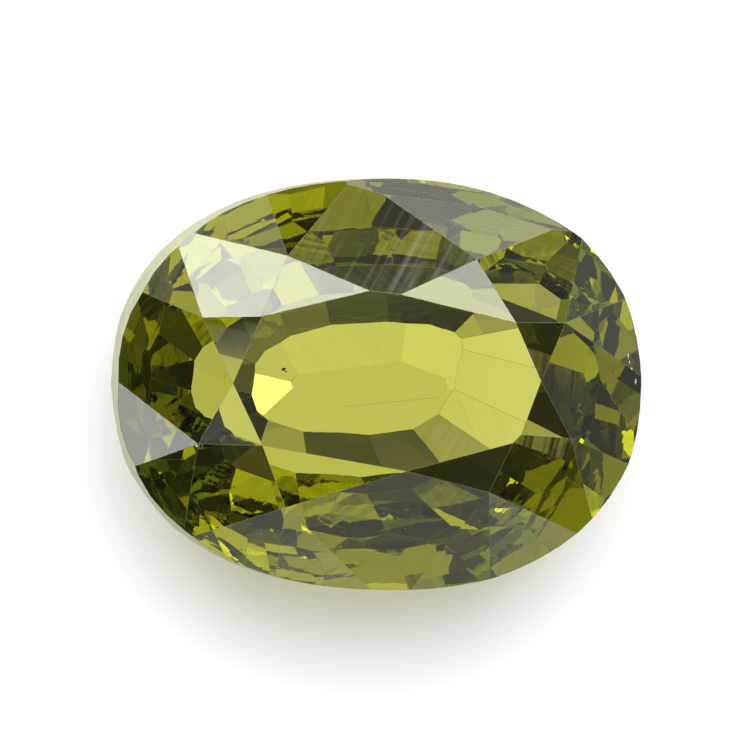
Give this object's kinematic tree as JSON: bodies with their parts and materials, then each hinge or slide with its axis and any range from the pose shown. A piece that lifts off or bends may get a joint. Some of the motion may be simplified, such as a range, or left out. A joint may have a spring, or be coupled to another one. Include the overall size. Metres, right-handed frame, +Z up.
{
  "type": "faceted alexandrite gemstone",
  "caption": "Loose oval mixed-cut yellow-green gemstone with table, star, kite and girdle facets above a step-cut pavilion, resting on its small flat culet with its table facing up",
  "frame": {"origin": "centre of the stone's bounding box in plan, on the surface that the stone lies on", "axes": "+X along the stone's long side, +Y along its short side, +Z up, the way the table faces"},
  "size_m": [0.009, 0.007, 0.004],
  "materials": {
    "alexandrite": "polished facets, clear olive to yellow-green stone"
  },
  "bodies": {
    "root": {"gemstone": "alexandrite"}
  },
  "joints": []
}
